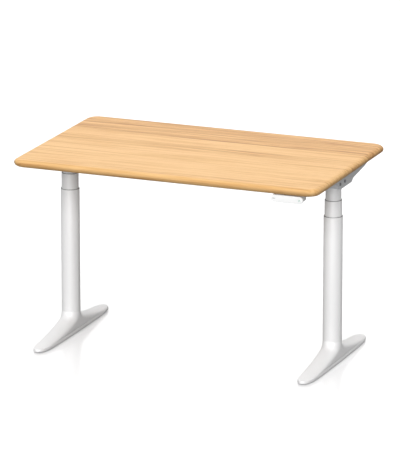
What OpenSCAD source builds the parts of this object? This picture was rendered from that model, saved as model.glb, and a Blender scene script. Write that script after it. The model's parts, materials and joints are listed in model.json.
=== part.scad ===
// Height adjustable sitting and standing desk with two telescopic columns.
// Origin: on the floor under the middle of the worktop. +X right, +Y back, +Z up.

/* [Worktop] */
// Width of the worktop, left to right
top_w = 1220; // [1160:10:1600]
// Depth of the worktop, front to back
top_d = 760; // [700:10:900]
// Thickness of the worktop
top_t = 29; // [22:1:40]
// Radius of the worktop's corners, seen from above
corner_r = 50; // [35:1:90]
// How far the rounded edge runs in from the rim
edge_run = 23; // [8:1:30]
// Height of the worktop's upper face at the stored setting
desk_h = 762; // [740:1:800]

/* [Columns] */
// Distance between the two column axes
col_spacing = 1068; // [960:2:1100]
// Column axis behind the middle of the worktop
col_y = 4; // [0:1:40]
// Outside diameter of the outer, lowest tube
outer_d = 72; // [70:0.5:90]
// Wall of all three tubes
tube_wall = 2; // [1.5:0.1:2.4]
// Gap between two tubes, which the glides fill
glide_gap = 1.2; // [1.1:0.05:3]
// Bare length of the middle tube at the stored setting
middle_show = 62; // [55:1:90]
// Bare length of the upper tube at the stored setting
upper_show = 46.5; // [46:0.5:80]
// Length of one guide ring
glide_len = 30; // [20:1:45]
// Travel of one stage up from the stored setting
stage_up = 271; // [200:1:271]
// Travel of one stage down from the stored setting
stage_down = 44; // [20:1:44]

/* [Drive] */
// Diameter of the solid drive spindle
drive_d = 12; // [10:1:14]
// Outside diameter of the hollow spindle
hollow_d = 20; // [18:1:22]
// Outside diameter of the post that holds the lower nut
post_d = 34; // [32:1:36]
// Outside diameter of the tube that carries the upper nut
carrier_d = 44; // [42:1:46]
// Diameter of the motor
motor_d = 44; // [36:1:46]
// Length of a spindle nut
nut_len = 30; // [20:1:30]

/* [Feet] */
// Reach of a foot in front of its column
foot_front = 327; // [280:1:350]
// Reach of a foot behind its column
foot_rear = 327; // [280:1:350]
// Height at which the foot meets the column
foot_collar = 84; // [76:1:110]
// Height of the foot's lower edge over the floor
foot_lift = 3; // [3:0.5:5]
// Height of the foot's widest line over the floor
foot_rim = 6; // [6:0.5:9]
// Height of the foot's tip over the floor
foot_tip = 16; // [15:0.5:20]
// Share of the foot's rise that lies in the tight fillet at the column
foot_fillet = 0.32; // [0.15:0.01:0.45]
// Share of its width that the foot loses towards a tip
foot_taper = 0.14; // [0:0.01:0.25]
// Diameter of a leveller's pad
pad_d = 32; // [24:1:36]
// Leveller's distance from the tip of the foot
pad_inset = 46; // [40:1:70]

/* [Brackets] */
// Depth of a bracket under the worktop at the column
bracket_h = 58; // [54:1:70]
// Width of a bracket
bracket_w = 70; // [64:1:80]
// Reach of a bracket in front of its column
arm_front = 310; // [200:5:330]
// Reach of a bracket behind its column
arm_rear = 325; // [200:5:340]
// Depth of a bracket's arms at their ends
arm_tip = 14; // [12:1:20]
// Depth of the crossbeam, front to back
beam_d = 45; // [40:1:48]
// Height of the crossbeam
beam_h = 35; // [30:1:38]

/* [Controls] */
// Length of the control paddle
paddle_w = 126; // [110:1:150]
// Height of the control paddle
paddle_h = 27; // [24:0.5:29]
// Thickness of the control paddle
paddle_t = 12; // [11:0.5:14]
// Middle of the paddle from the middle of the worktop
paddle_x = 490.5; // [380:0.5:500]
// Paddle's face behind the worktop's front edge
paddle_inset = 8; // [6:0.5:20]
// Diameter of the round button in the paddle
button_d = 11; // [9:0.5:12]
// Length of the control box
box_w = 260; // [220:5:300]
// Depth of the control box, front to back
box_d = 110; // [90:5:130]
// Height of the control box
box_h = 34; // [30:1:40]
// Diameter of the low voltage leads
lead_d = 5; // [4:0.5:6]

/* [Hidden] */
$fn = 96;
// gaps: seats within one body, running fits, and free clearance between bodies
seat_gap = 0.1;
run_gap = 0.05;
free_gap = 0.3;

// heights
under_z = desk_h - top_t;
bracket_z = under_z - bracket_h;
middle_top = bracket_z - upper_show;
outer_top = middle_top - middle_show;
floor_z = 34;
spigot_h = 12;
spigot_top = foot_collar + spigot_h;
end_gap = 4;
plate_t = 8;
middle_z = spigot_top + stage_down + end_gap;
upper_z = middle_z + plate_t + stage_down + 2 * end_gap;
flange_t = 8;
drive_over = 10;
hollow_z = floor_z + stage_down + end_gap;
post_top = hollow_z + drive_over + stage_up + nut_len;
head_z = post_top + stage_down + end_gap + 2;
head_t = 30;
head_top = head_z + head_t;
gear_z = head_top + stage_down + end_gap + 2;
gear_t = 38;
motor_z = gear_z + gear_t;
motor_len = 120;
drive_z = head_z - stage_up - drive_over + end_gap;

// radii
outer_r = outer_d / 2;
outer_in = outer_r - tube_wall;
middle_r = outer_in - glide_gap;
middle_in = middle_r - tube_wall;
upper_r = middle_in - glide_gap;
upper_in = upper_r - tube_wall;
drive_r = drive_d / 2;
hollow_r = hollow_d / 2;
post_r = post_d / 2;
carrier_r = carrier_d / 2;
key_r = drive_r + run_gap;
lip_t = 1.4;

// plan places
col_x = col_spacing / 2;
front_y = -top_d / 2;
half_w = max(bracket_w / 2, upper_r + 4);
bolt_y = upper_r - 4.6;
beam_y = col_y + max(59, upper_r + 29);
beam_drop = 11;
beam_top = under_z - beam_drop;
beam_wall = 2;
beam_half = col_x - half_w - seat_gap;
tongue_len = 40;
box_y = beam_y + beam_d / 2 + 18;
box_x = -box_w / 2;
box_wall = 2.2;
paddle_y = front_y + paddle_inset;
paddle_top = under_z - 1.2;
paddle_z = paddle_top - paddle_h / 2;
pivot_y = paddle_y + paddle_t + 9;
pin_r = 1.5;
button_x = paddle_x + paddle_w / 2 - paddle_h / 2;
pad_front = col_y - foot_front + pad_inset;
pad_rear = col_y + foot_rear - pad_inset;
stem_r = 4;
stem_in = 9;
lead_r = lead_d / 2;
screw_in = 16;

// routes of the two motor leads (right hand side) and the handset lead, chosen by hand
exit_y = col_y + 10;
motor_end = motor_z + 3 + seat_gap + motor_len;
entry_y = 135;
entry_drop = 12;
handset_in = 80;
handset_drop = 8;
motor_route = [[col_x - 9, exit_y, motor_end - 1.3], [col_x - 12, exit_y, (motor_end + under_z) / 2 + 3.5],
  [col_x - 21, exit_y, under_z - 10], [col_x - half_w, exit_y, under_z - 8], [470, 30, under_z - 8],
  [430, 60, under_z - 6], [400, 100, under_z - 6], [360, 122, under_z - 5], [280, 126, under_z - 8],
  [200, 129, under_z - 8], [154, entry_y - 1, under_z - entry_drop + 1],
  [6 - box_x, entry_y, under_z - entry_drop], [-box_x - 12, entry_y, under_z - entry_drop]];
handset_route = [[paddle_x, pivot_y + 28, paddle_z + 2], [paddle_x, pivot_y + 42, paddle_z + 2],
  [494, pivot_y + 58, under_z - 8], [450, -258, under_z - 5], [350, -185, under_z - 9],
  [240, -110, under_z - 5], [150, -30, under_z - 9], [100, 36, under_z - 6], [86, 66, under_z - 6],
  [handset_in, box_y - 16, under_z - 6.5], [handset_in, box_y - 4, under_z - handset_drop],
  [handset_in, box_y + 6, under_z - handset_drop]];
// each clip stands on a point of a route: the route, the number of the point, and the side
clip_spots = [[motor_route, 7, 1], [motor_route, 7, -1], [handset_route, 3, 1], [handset_route, 5, 1]];

// ---- shared shapes -------------------------------------------------------

module tube(r_out, r_in, z0, z1) {
  translate([0, 0, z0])
    difference() {
      cylinder(h = z1 - z0, r = r_out);
      translate([0, 0, -1]) cylinder(h = z1 - z0 + 2, r = r_in);
    }
}

module at_column(side) {
  translate([side * col_x, col_y, 0]) children();
}

module both_sides() {
  for (side = [-1, 1]) at_column(side) children();
}

// tube along a list of points, as one closed skin
function along(p, i) = let(a = p[max(i - 1, 0)], b = p[min(i + 1, len(p) - 1)]) (b - a) / norm(b - a);
function across(t) = let(c = cross([0, 0, 1], t)) c / norm(c);
function ring_at(p, i, r, sides) =
  let(t = along(p, i), u = across(t), v = cross(t, u))
  [for (k = [0:sides - 1]) p[i] + r * (cos(360 * k / sides) * u + sin(360 * k / sides) * v)];
function mix4(a, b, c, d, t) = 0.5 * (2 * b + (c - a) * t + (2 * a - 5 * b + 4 * c - d) * t * t
  + (3 * b - a - 3 * c + d) * t * t * t);
function smooth(p, steps) =
  let(n = len(p))
  [for (i = [0:n - 2], k = [0:steps - 1])
    mix4(p[max(i - 1, 0)], p[i], p[i + 1], p[min(i + 2, n - 1)], k / steps), p[n - 1]];

module skin(rings) {
  n = len(rings);
  m = len(rings[0]);
  points = [for (ring = rings) each ring];
  walls = [for (i = [0:n - 2], k = [0:m - 1])
    let(a = i * m + k, b = i * m + (k + 1) % m)
    each [[a, a + m, b], [b, a + m, b + m]]];
  bottom = [[for (k = [0:m - 1]) k]];
  lid = [[for (k = [m - 1:-1:0]) (n - 1) * m + k]];
  polyhedron(points = points, faces = concat(walls, bottom, lid), convexity = 6);
}

module lead(route, r) {
  path = smooth(route, 5);
  skin([for (i = [0:len(path) - 1]) ring_at(path, i, r, 8)]);
}

// ---- worktop -------------------------------------------------------------

// half of a rounded slab's section, from the corner's axis to the rim
module edge_section() {
  inner = corner_r - edge_run;
  steps = 12;
  polygon(concat([[0, 0], [inner, 0]],
    [for (k = [1:steps - 1]) let(a = -90 + 180 * k / steps)
      [inner + edge_run * cos(a), top_t / 2 + top_t / 2 * sin(a)]],
    [[inner, top_t], [0, top_t]]));
}

screw_places = [for (side = [-1, 1], y = [-arm_front + 16, -arm_front * 0.5, arm_rear * 0.62, arm_rear - 16])
  [side * col_x, col_y + y]];

// screws that hold the control box, the handset and the clips: x, y, and the head's depth
fixing_r = 1.5;
fixing_in = 11;
ear_t = 4;
lug_half = 20;
housing_d = 40;
housing_w = paddle_w - 14;
housing_y = paddle_y + paddle_t + 4;
clip_half = lead_r + 2;
clip_tab = clip_half + 4;
function clip_turn(c) = let(a = c[0][c[1] - 1], b = c[0][c[1] + 1]) atan2(b[1] - a[1], c[2] * (b[0] - a[0]));
function clip_point(c) = [c[2] * c[0][c[1]][0], c[0][c[1]][1]];
fixing_places = concat(
  [for (x = [box_x - 6, box_x + box_w + 6]) [x, box_y + box_d / 2, ear_t + seat_gap]],
  [for (x = [-1, 1]) [paddle_x + x * (housing_w / 2 - 9), housing_y + 7, 8]],
  [for (c = clip_spots) let(p = clip_point(c), a = clip_turn(c))
    [p[0] - clip_tab * sin(a), p[1] + clip_tab * cos(a), 2]]);

module tabletop() {
  long_x = top_w / 2 - corner_r;
  long_y = top_d / 2 - corner_r;
  color("burlywood")
    difference() {
      translate([0, 0, under_z]) {
        translate([-long_x, -long_y, 0]) cube([2 * long_x, 2 * long_y, top_t]);
        for (turn = [0, 180]) {
          rotate(turn)
            translate([long_x, 0, 0])
              rotate([90, 0, 0]) linear_extrude(height = 2 * long_y, center = true) edge_section();
          rotate(turn + 90)
            translate([long_y, 0, 0])
              rotate([90, 0, 0]) linear_extrude(height = 2 * long_x, center = true) edge_section();
        }
        for (x = [-1, 1], y = [-1, 1])
          translate([x * long_x, y * long_y, 0])
            rotate(x > 0 ? (y > 0 ? 0 : 270) : (y > 0 ? 90 : 180))
              rotate_extrude(angle = 90) edge_section();
      }
      for (p = screw_places)
        translate([p[0], p[1], under_z - 1]) cylinder(h = screw_in + 2, r = 2.2 + seat_gap);
      for (p = fixing_places)
        translate([p[0], p[1], under_z - 1]) cylinder(h = fixing_in + 2, r = fixing_r + seat_gap);
    }
}

// ---- feet ----------------------------------------------------------------

// Plan outline of the foot at one level: half length grows from the tube's radius to the reach,
// the ends go from round to blunt, and the sides taper towards the tips.
function reach_at(grow, a) = outer_r + (a - outer_r) * grow;
function plan_ring(grow, z, inset) =
  let(blunt = 2 + 9 * pow(grow, 1.5), taper = foot_taper * pow(grow, 0.7), m = 72)
  [for (k = [0:m - 1])
    let(t = 360 * k / m, s = sin(t), far = s < 0 ? foot_front : foot_rear,
      w = (outer_r - inset) * (1 - taper * s * s) * sqrt(max(0, 1 - pow(abs(s), blunt))))
    [cos(t) < 0 ? -w : w, (reach_at(grow, far) - inset) * s, z]];

// The crest falls from the collar to the tip in a sweep that starts along the column.
function crest(grow) = foot_tip + (foot_collar - foot_tip)
  * ((1 - foot_fillet) * pow(1 - grow, 1.5) + foot_fillet * exp(-grow / 0.03));

module foot_body() {
  levels = [1, 0.985, 0.95, 0.88, 0.78, 0.66, 0.54, 0.42, 0.31, 0.21, 0.14, 0.095, 0.065, 0.042, 0.024,
    0.01, 0];
  skin(concat(
    [plan_ring(1, foot_lift, 9), plan_ring(1, (foot_lift + foot_rim) / 2 - 0.5, 3), plan_ring(1, foot_rim, 0)],
    [for (g = levels) plan_ring(g, g == 1 ? foot_tip - 2 : crest(g), g == 1 ? 1.5 : 0)]));
}

module foot(side) {
  color("whitesmoke")
    at_column(side)
      difference() {
        union() {
          foot_body();
          translate([0, 0, foot_collar - 2]) cylinder(h = spigot_h + 2, r = outer_in - seat_gap);
        }
        translate([0, 0, floor_z]) cylinder(h = spigot_top, r = outer_in - 4);
        for (y = [-18, 18])
          translate([0, y, -1]) cylinder(h = floor_z + 2, r = 4.3);
        for (y = [-18, 18])
          translate([0, y, -1]) cylinder(h = foot_lift + 11, r = 7.5);
        for (y = [pad_front - col_y, pad_rear - col_y])
          translate([0, y, foot_lift - 1]) cylinder(h = stem_in + 2, r = stem_r + run_gap);
      }
}

module foot_bolts() {
  color("dimgray")
    both_sides()
      for (y = [-18, 18])
        translate([0, y, foot_lift + 3]) {
          difference() {
            cylinder(h = 7, r = 6.5);
            translate([0, 0, -1]) cylinder(h = 5, r = 3.5, $fn = 6);
          }
          translate([0, 0, 6.9]) cylinder(h = floor_z - foot_lift - 3, r = 4);
        }
}

module leveller(side, y) {
  color("dimgray")
    translate([side * col_x, y, 0]) {
      cylinder(h = 0.8, r1 = pad_d / 2 - 0.8, r2 = pad_d / 2);
      translate([0, 0, 0.8]) cylinder(h = foot_lift - 1.6, r = pad_d / 2);
      cylinder(h = foot_lift - free_gap, r = 8);
      cylinder(h = foot_lift + stem_in, r = stem_r);
    }
}

// ---- lower part of a column ----------------------------------------------

module outer_tube(side) {
  color("gainsboro")
    at_column(side) tube(outer_r, outer_in, foot_collar + seat_gap, outer_top);
}

module outer_glide(side) {
  color("slategray")
    at_column(side) {
      tube(outer_in - seat_gap, middle_r + run_gap, outer_top - glide_len, outer_top);
      tube(outer_r - 0.4, middle_r + run_gap, outer_top, outer_top + lip_t);
    }
}

module nut_post(side) {
  color("silver")
    at_column(side)
      difference() {
        union() {
          translate([0, 0, floor_z]) cylinder(h = flange_t, r = outer_in - 4.5);
          translate([0, 0, floor_z]) cylinder(h = post_top - floor_z, r = post_r);
        }
        translate([0, 0, floor_z - 1]) cylinder(h = post_top, r = hollow_r + 2);
        translate([0, 0, post_top - nut_len]) cylinder(h = nut_len + 1, r = post_r - 2);
        for (y = [-20.5, 20.5])
          translate([0, y, floor_z - 1]) cylinder(h = flange_t + 2, r = 1.5);
        for (y = [-18, 18])
          translate([0, y, floor_z - 1]) cylinder(h = flange_t + 1, r = 4 + seat_gap);
      }
}

module base_nut(side) {
  color("goldenrod")
    at_column(side)
      tube(post_r - 2 - seat_gap, hollow_r + run_gap, post_top - nut_len, post_top - 0.5);
}

// ---- middle stage --------------------------------------------------------

module middle_tube(side) {
  color("gainsboro")
    at_column(side) tube(middle_r, middle_in, middle_z, middle_top);
}

module middle_shoe(side) {
  color("slategray")
    at_column(side)
      tube(outer_in - run_gap, middle_r + seat_gap, middle_z, middle_z + glide_len);
}

module middle_glide(side) {
  color("slategray")
    at_column(side) {
      tube(middle_in - seat_gap, upper_r + run_gap, middle_top - glide_len, middle_top);
      tube(middle_r - 0.4, upper_r + run_gap, middle_top, middle_top + lip_t);
    }
}

module carrier_tube(side) {
  color("silver")
    at_column(side) {
      tube(middle_in - seat_gap, post_r + 1.5, middle_z, middle_z + plate_t);
      tube(carrier_r, carrier_r - 2, middle_z + plate_t - 0.01, head_z + 10);
    }
}

module carrier_nut(side) {
  color("goldenrod")
    at_column(side)
      difference() {
        union() {
          translate([0, 0, head_z]) cylinder(h = head_t, r = carrier_r - 2 - seat_gap);
          translate([0, 0, head_z + 10 + seat_gap])
            cylinder(h = head_t - 10 - seat_gap, r = carrier_r + 1);
        }
        translate([0, 0, head_z - 1]) cylinder(h = 11, r = hollow_r + 2 + run_gap);
        translate([0, 0, head_z]) cylinder(h = head_t + 1, r = drive_r + run_gap);
      }
}

module hollow_spindle(side) {
  color("lightsteelblue")
    at_column(side) {
      tube(hollow_r, key_r, hollow_z, head_z + 1);
      tube(hollow_r + 2, key_r, head_z + 1, head_z + 10 - free_gap);
    }
}

// ---- upper stage ---------------------------------------------------------

module drive_spindle(side) {
  color("lightsteelblue")
    at_column(side) {
      translate([0, 0, drive_z]) cylinder(h = gear_z - drive_z + 20, r = drive_r);
      translate([0, 0, gear_z - 1.5]) cylinder(h = 1.2, r = drive_r + 3);
    }
}

module upper_tube(side) {
  color("gainsboro")
    at_column(side)
      difference() {
        tube(upper_r, upper_in, upper_z, under_z - 4);
        translate([-side * upper_r, exit_y - col_y, under_z - 8])
          cube([20, lead_d + 3, lead_d + 3], center = true);
      }
}

module upper_shoe(side) {
  color("slategray")
    at_column(side)
      tube(middle_in - run_gap, upper_r + seat_gap, upper_z, upper_z + glide_len);
}

module gearbox(side) {
  color("darkgray")
    at_column(side)
      difference() {
        union() {
          translate([0, 0, gear_z]) cylinder(h = gear_t, r = upper_in - seat_gap);
          translate([0, 0, motor_z]) cylinder(h = 3, r = upper_in - 4);
        }
        translate([0, 0, gear_z - 1]) cylinder(h = 22, r = drive_r + run_gap);
        for (k = [0:2]) rotate(120 * k)
          translate([upper_in - 6, 0, gear_z - 1]) cylinder(h = 9, r = 2);
      }
}

module motor(side) {
  color("dimgray")
    at_column(side)
      translate([0, 0, motor_z + 3 + seat_gap]) {
        cylinder(h = motor_len - 8, r = motor_d / 2);
        translate([0, 0, motor_len - 8]) cylinder(h = 6, r = motor_d / 2 - 4);
        translate([0, 0, motor_len - 2.1]) cylinder(h = 3, r = 6);
      }
}

// side view of a bracket, y back from the column and z down from the worktop
module bracket_side() {
  rear_tip = arm_tip + 8;
  polygon([[-arm_front, 0], [-arm_front, -arm_tip + 3], [-arm_front + 3, -arm_tip], [-72, -28],
    [-54, -34], [-42, -bracket_h + 13], [-31, -bracket_h + 4], [-8, -bracket_h], [101, -bracket_h],
    [108, -bracket_h + 4], [114, -bracket_h + 10], [124, -46], [255, -34], [arm_rear - 3, -rear_tip],
    [arm_rear, -rear_tip + 3], [arm_rear, 0]]);
}

// plan view of a bracket: full width at the column, narrower towards both ends
module bracket_plan() {
  tip_half = half_w - 8;
  polygon([[-half_w, -60], [-tip_half, -arm_front + 6], [-tip_half + 6, -arm_front],
    [tip_half - 6, -arm_front], [tip_half, -arm_front + 6], [half_w, -60], [half_w, 110],
    [tip_half, arm_rear - 6], [tip_half - 6, arm_rear], [-tip_half + 6, arm_rear],
    [-tip_half, arm_rear - 6], [-half_w, 110]]);
}

module bracket_pocket(y0, y1, half_x, floor_drop) {
  translate([-half_x, y0, -floor_drop]) cube([2 * half_x, y1 - y0, floor_drop + 1]);
}

module bracket(side) {
  inward = -side;
  tongue_w = beam_d - 2 * beam_wall - 2 * seat_gap;
  tongue_h = beam_h - 2 * beam_wall - 2 * seat_gap;
  color("darkgray")
    at_column(side)
      translate([0, 0, under_z])
        difference() {
          union() {
            intersection() {
              rotate([90, 0, 90])
                linear_extrude(height = 2 * half_w, center = true) bracket_side();
              translate([0, 0, -bracket_h - 1])
                linear_extrude(height = bracket_h + 1) bracket_plan();
            }
            translate([inward * (half_w + tongue_len / 2 - 1), beam_y - col_y,
                -beam_drop - beam_h / 2])
              cube([tongue_len + 2, tongue_w, tongue_h], center = true);
          }
          translate([0, 0, -bracket_h - 1]) cylinder(h = bracket_h + 2, r = upper_r + seat_gap);
          bracket_pocket(-arm_front + 30, -arm_front * 0.55, half_w - 14, 11);
          bracket_pocket(-arm_front * 0.45, -60, half_w - 9, 13);
          bracket_pocket(beam_y - col_y - 22, 100, half_w - 9, 40);
          bracket_pocket(112, arm_rear * 0.58, half_w - 12, 22);
          bracket_pocket(arm_rear * 0.66, arm_rear - 30, half_w - 14, 16);
          translate([inward * (half_w - 12), exit_y - col_y, -8])
            cube([34, lead_d + 3, lead_d + 3], center = true);
          for (y = [-bolt_y, bolt_y])
            translate([side * (half_w + 1), y, -36])
              rotate([0, -side * 90, 0]) cylinder(h = 11, r = 3 + seat_gap);
          for (p = screw_places)
            if (p[0] * side > 0)
              translate([0, p[1] - col_y, -bracket_h]) cylinder(h = bracket_h + 1, r = 2.6);
          for (p = screw_places)
            if (p[0] * side > 0)
              translate([0, p[1] - col_y, -bracket_h - 1]) cylinder(h = bracket_h - 8, r = 5.5);
          for (x = [14, 28])
            translate([inward * (half_w + x), beam_y - col_y, -beam_drop - beam_h])
              cylinder(h = 20, r = 2.5 + seat_gap);
        }
}

module bracket_bolts() {
  color("dimgray")
    for (side = [-1, 1], y = [-bolt_y, bolt_y])
      at_column(side)
        translate([side * (half_w + 3.4), y, under_z - 36])
          rotate([0, -side * 90, 0]) {
            difference() {
              cylinder(h = 3.4, r = 6);
              translate([0, 0, -1]) cylinder(h = 3, r = 2.3, $fn = 6);
            }
            translate([0, 0, 3.3]) cylinder(h = 9, r = 3);
          }
}

module bracket_screws() {
  color("silver")
    for (p = screw_places)
      translate([p[0], p[1], under_z - 9]) {
        translate([0, 0, -2.6]) cylinder(h = 2.6, r = 5);
        translate([0, 0, -0.1]) cylinder(h = 9 + screw_in, r = 2.2);
      }
}

module crossbeam() {
  color("darkgray")
    translate([0, beam_y, beam_top - beam_h / 2])
      difference() {
        cube([2 * beam_half, beam_d, beam_h], center = true);
        cube([2 * beam_half + 2, beam_d - 2 * beam_wall, beam_h - 2 * beam_wall], center = true);
        for (side = [-1, 1], x = [14, 28])
          translate([side * (col_x - half_w - x), 0, -beam_h / 2 - 1])
            cylinder(h = beam_wall + 2, r = 2.8);
      }
}

module crossbeam_bolts() {
  color("silver")
    for (side = [-1, 1], x = [14, 28])
      translate([side * (col_x - half_w - x), beam_y, beam_top - beam_h]) {
        translate([0, 0, -3]) cylinder(h = 3, r = 4.6);
        translate([0, 0, -0.1]) cylinder(h = 19, r = 2.5);
      }
}

// ---- control box ---------------------------------------------------------

module control_box_tray() {
  color("dimgray")
    translate([box_x, box_y, under_z - box_h])
      difference() {
        union() {
          cube([box_w, box_d, 2]);
          for (x = [14, box_w - 14], y = [14, box_d - 14])
            translate([x, y, 0]) cylinder(h = 12, r = 5);
        }
        for (x = [14, box_w - 14], y = [14, box_d - 14])
          translate([x, y, -1]) cylinder(h = 14, r = 1.8);
      }
}

module control_box_cover() {
  inlet_y = box_d - 42;
  cover_top = box_h - 2 - seat_gap;
  color("dimgray")
    translate([box_x, box_y, under_z - box_h + 2 + seat_gap])
      difference() {
        union() {
          cube([box_w, box_d, box_h - 2 - 2 * seat_gap]);
          for (x = [-12, box_w - 8])
            translate([x, box_d / 2 - 15, box_h - 2 - 2 * seat_gap - ear_t]) cube([20, 30, ear_t]);
        }
        translate([box_wall, box_wall, -1])
          cube([box_w - 2 * box_wall, box_d - 2 * box_wall, box_h - 2 - box_wall]);
        translate([-1, inlet_y - 14, 5]) cube([box_wall + 2, 28, 20]);
        for (k = [0:9])
          translate([60 + 14 * k, -1, 10]) cube([6, box_wall + 2, 3]);
        for (x = [-6, box_w + 6])
          translate([x, box_d / 2, 0]) cylinder(h = box_h, r = fixing_r + seat_gap);
        translate([-1, entry_y - box_y, cover_top - entry_drop])
          rotate([0, 90, 0]) cylinder(h = box_w + 2, r = lead_r + 0.5);
        translate([handset_in - box_x, -1, cover_top - handset_drop])
          rotate([-90, 0, 0]) cylinder(h = box_wall + 2, r = lead_r + 0.5);
      }
}

module control_board() {
  color("seagreen")
    translate([box_x + 22, box_y + 8, under_z - box_h + 8]) {
      cube([box_w - 44, box_d - 16, 1.6]);
      for (x = [20, 60, 100])
        translate([x, 30, 1.5]) cylinder(h = 15, r = 8);
      translate([130, 20, 1.5]) cube([50, 40, 14]);
    }
}

module mains_inlet() {
  inlet_y = box_y + box_d - 42;
  color("black")
    translate([box_x, inlet_y, under_z - box_h + 7 + seat_gap])
      difference() {
        union() {
          translate([-2, -16, -0.5]) cube([2, 32, 21]);
          translate([-1, -14 + seat_gap, seat_gap]) cube([16, 28 - 2 * seat_gap, 20 - 2 * seat_gap]);
        }
        translate([-3, -11, 3]) cube([14, 22, 14]);
      }
}

module box_screws() {
  color("silver")
    for (x = [14, box_w - 14], y = [14, box_d - 14])
      translate([box_x + x, box_y + y, under_z - box_h]) {
        translate([0, 0, -1.6]) cylinder(h = 1.6, r = 3.2);
        translate([0, 0, -0.1]) cylinder(h = 11, r = 1.6);
      }
}

// ---- handset with a tilting paddle ----------------------------------------

module handset_housing() {
  w = housing_w;
  color("whitesmoke")
    difference() {
      translate([paddle_x - w / 2, housing_y, under_z - paddle_h + 3])
        cube([w, housing_d, paddle_h - 3 - seat_gap]);
      translate([paddle_x - lug_half - free_gap, housing_y - 1, under_z - paddle_h + 2])
        cube([2 * (lug_half + free_gap), 12, paddle_h - 4]);
      translate([paddle_x - w / 2 + 3, housing_y + 14, under_z - paddle_h + 5])
        cube([w - 6, housing_d - 17, paddle_h - 9]);
      translate([paddle_x - lug_half - 8, pivot_y, paddle_z])
        rotate([0, 90, 0]) cylinder(h = 2 * lug_half + 16, r = pin_r + seat_gap);
      translate([paddle_x, housing_y + housing_d - 4, paddle_z + 2])
        rotate([-90, 0, 0]) cylinder(h = 6, r = lead_r + 0.5);
      for (x = [-1, 1])
        translate([paddle_x + x * (w / 2 - 9), housing_y + 7, under_z - paddle_h]) {
          cylinder(h = paddle_h + 1, r = fixing_r + seat_gap);
          cylinder(h = paddle_h - 8, r = 3.4);
        }
    }
}

module handset_board() {
  color("seagreen")
    translate([paddle_x - 44, housing_y + 16, under_z - paddle_h + 8]) {
      cube([88, 18, 1.6]);
      for (x = [18, 62]) translate([x, 4, 1.5]) cube([8, 6, 5]);
    }
}

module paddle() {
  end = paddle_h / 2;
  color("white")
    difference() {
      union() {
        translate([0, paddle_y, paddle_z])
          rotate([-90, 0, 0])
            for (cut = [[0, 1.2, 1.5], [1.2, paddle_t - 2.2, 0], [paddle_t - 1, 1, 1]])
              translate([0, 0, cut[0]])
                linear_extrude(height = cut[1])
                  hull()
                    for (x = [-1, 1])
                      translate([paddle_x + x * (paddle_w / 2 - end), 0])
                        circle(r = end - cut[2], $fn = 64);
        translate([paddle_x - lug_half, paddle_y + paddle_t - 0.5, paddle_z - 5])
          cube([2 * lug_half, pivot_y - paddle_y - paddle_t + 4, 10]);
      }
      translate([paddle_x - lug_half - 1, pivot_y, paddle_z])
        rotate([0, 90, 0]) cylinder(h = 2 * lug_half + 2, r = pin_r + run_gap);
      translate([button_x, paddle_y - 1, paddle_z])
        rotate([-90, 0, 0]) cylinder(h = 8, r = button_d / 2 + free_gap);
      translate([2 * paddle_x - button_x - 6, paddle_y - 1, paddle_z - 0.8])
        cube([12, 2.2, 1.6]);
    }
}

module paddle_pin() {
  color("silver")
    translate([paddle_x - lug_half - 7, pivot_y, paddle_z])
      rotate([0, 90, 0]) cylinder(h = 2 * lug_half + 14, r = pin_r);
}

module paddle_button() {
  color("whitesmoke")
    translate([button_x, paddle_y - 0.5, paddle_z])
      rotate([-90, 0, 0]) {
        cylinder(h = 0.6, r1 = button_d / 2 - 0.6, r2 = button_d / 2);
        translate([0, 0, 0.6]) cylinder(h = 4.4, r = button_d / 2);
      }
}

module status_light() {
  color("slategray")
    translate([2 * paddle_x - button_x - 6 + seat_gap, paddle_y - 0.1, paddle_z - 0.8 + seat_gap])
      cube([12 - 2 * seat_gap, 1.3 - seat_gap, 1.6 - 2 * seat_gap]);
}

// ---- leads ---------------------------------------------------------------

module motor_lead(side) {
  color("dimgray") lead([for (p = motor_route) [side * p[0], p[1], p[2]]], lead_r);
}

module handset_lead() {
  color("dimgray") lead(handset_route, lead_r);
}

module lead_clips() {
  color("whitesmoke")
    for (c = clip_spots)
      translate([clip_point(c)[0], clip_point(c)[1], under_z - 5])
        rotate(clip_turn(c))
          difference() {
            union() {
              translate([-4, -clip_half, -clip_half]) cube([8, 2 * clip_half, clip_half + 5 - seat_gap]);
              translate([-4, clip_half - 1, 3]) cube([8, 9, 2 - seat_gap]);
            }
            rotate([0, 90, 0]) cylinder(h = 20, r = lead_r + 0.8, center = true);
            translate([0, clip_tab, -1]) cylinder(h = 9, r = fixing_r + seat_gap);
          }
}

module fixing_screws() {
  color("silver")
    for (p = fixing_places)
      translate([p[0], p[1], under_z - p[2]]) {
        translate([0, 0, -2]) cylinder(h = 2, r = 2.9);
        translate([0, 0, -0.1]) cylinder(h = p[2] + fixing_in, r = fixing_r);
      }
}

tabletop();
foot(-1);  // left_foot
foot(1);  // right_foot
outer_tube(-1);  // left_outer_tube
outer_tube(1);  // right_outer_tube
outer_glide(-1);  // left_outer_glide
outer_glide(1);  // right_outer_glide
nut_post(-1);  // left_nut_post
nut_post(1);  // right_nut_post
base_nut(-1);  // left_base_nut
base_nut(1);  // right_base_nut
foot_bolts();
leveller(-1, pad_front);  // left_front_leveller
leveller(-1, pad_rear);  // left_rear_leveller
leveller(1, pad_front);  // right_front_leveller
leveller(1, pad_rear);  // right_rear_leveller
middle_tube(-1);  // left_middle_tube
middle_tube(1);  // right_middle_tube
middle_shoe(-1);  // left_middle_shoe
middle_shoe(1);  // right_middle_shoe
middle_glide(-1);  // left_middle_glide
middle_glide(1);  // right_middle_glide
carrier_tube(-1);  // left_carrier_tube
carrier_tube(1);  // right_carrier_tube
carrier_nut(-1);  // left_carrier_nut
carrier_nut(1);  // right_carrier_nut
hollow_spindle(-1);  // left_hollow_spindle
hollow_spindle(1);  // right_hollow_spindle
drive_spindle(-1);  // left_drive_spindle
drive_spindle(1);  // right_drive_spindle
upper_tube(-1);  // left_upper_tube
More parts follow.
